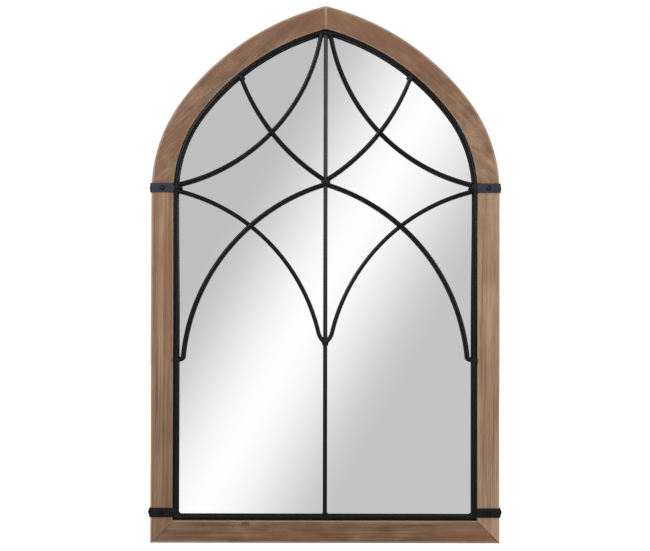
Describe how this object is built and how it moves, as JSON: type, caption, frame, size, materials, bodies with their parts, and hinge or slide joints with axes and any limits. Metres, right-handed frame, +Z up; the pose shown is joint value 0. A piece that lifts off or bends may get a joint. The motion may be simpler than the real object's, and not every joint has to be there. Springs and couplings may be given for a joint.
{
  "type": "arched window mirror",
  "caption": "Wall mirror shaped like a pointed-arch window: a stained wooden frame with a welded grille of bent black steel rods held by straps in front of the glass.",
  "frame": {"origin": "the hanging point on the wall plane: midway between the places where the two raised hanger rings bear on their hooks", "axes": "+Z up, +X to the right of someone facing the mirror, the mirror faces -Y and its back is towards +Y, where the wall is the plane y = 0"},
  "size_m": [0.6188, 0.0323, 0.9397],
  "materials": {
    "stained_wood": "grey-brown stain, matt, worn at the arrises",
    "beech": "raw beech",
    "black_paint": "satin black",
    "silvered_glass": "polished, silvered behind",
    "fibreboard": "smooth hardboard",
    "zinc_steel": "bright zinc plate",
    "grey_rubber": "matt"
  },
  "bodies": {
    "frame": {"apex_dowel": "beech", "apex_rod_left": "black_paint", "apex_rod_right": "black_paint", "apex_weld": "black_paint", "arch_left": "stained_wood", "arch_right": "stained_wood", "back_board": "fibreboard", "board_screw_crown_left": "zinc_steel", "board_screw_crown_right": "zinc_steel", "board_screw_haunch_left": "zinc_steel", "board_screw_haunch_right": "zinc_steel", "board_screw_lower_stile_left": "zinc_steel", "board_screw_lower_stile_right": "zinc_steel", "board_screw_rail_left": "zinc_steel", "board_screw_rail_right": "zinc_steel", "board_screw_upper_stile_left": "zinc_steel", "board_screw_upper_stile_right": "zinc_steel", "bottom_rail": "stained_wood", "bottom_rod": "black_paint", "bumper_left": "grey_rubber", "bumper_right": "grey_rubber", "corner_dowel_left": "beech", "corner_dowel_right": "beech", "flank_rod_left": "black_paint", "flank_rod_right": "black_paint", "hanger_lower_screw_left": "zinc_steel", "hanger_lower_screw_right": "zinc_steel", "hanger_plate_left": "zinc_steel", "hanger_plate_right": "zinc_steel", "hanger_upper_screw_left": "zinc_steel", "hanger_upper_screw_right": "zinc_steel", "hub_weld": "black_paint", "lower_strap_front_screw_left": "black_paint", "lower_strap_front_screw_right": "black_paint", "lower_strap_left": "black_paint", "lower_strap_right": "black_paint", "lower_strap_side_screw_left": "black_paint", "lower_strap_side_screw_right": "black_paint", "mirror_glass": "silvered_glass", "mullion_rod": "black_paint", "perimeter_rod_left": "black_paint", "perimeter_rod_right": "black_paint", "shoulder_rod_left": "black_paint", "shoulder_rod_right": "black_paint", "spring_dowel_left": "beech", "spring_dowel_right": "beech", "spring_rod_left": "black_paint", "spring_rod_right": "black_paint", "stile_left": "stained_wood", "stile_right": "stained_wood", "upper_strap_front_screw_left": "black_paint", "upper_strap_front_screw_right": "black_paint", "upper_strap_left": "black_paint", "upper_strap_right": "black_paint", "upper_strap_side_screw_left": "black_paint", "upper_strap_side_screw_right": "black_paint"},
    "hanger_ring_left": {"hanger_ring_left": "zinc_steel"},
    "hanger_ring_right": {"hanger_ring_right": "zinc_steel"}
  },
  "joints": [
    {"name": "hanger_ring_left_swing", "type": "hinge", "parent": "frame", "child": "hanger_ring_left", "pos_m": [-0.2928, -0.0034, -0.0141], "axis": [1, 0, 0], "range_deg": [0, 180]},
    {"name": "hanger_ring_right_swing", "type": "hinge", "parent": "frame", "child": "hanger_ring_right", "pos_m": [0.2928, -0.0034, -0.0141], "axis": [1, 0, 0], "range_deg": [0, 180]}
  ]
}
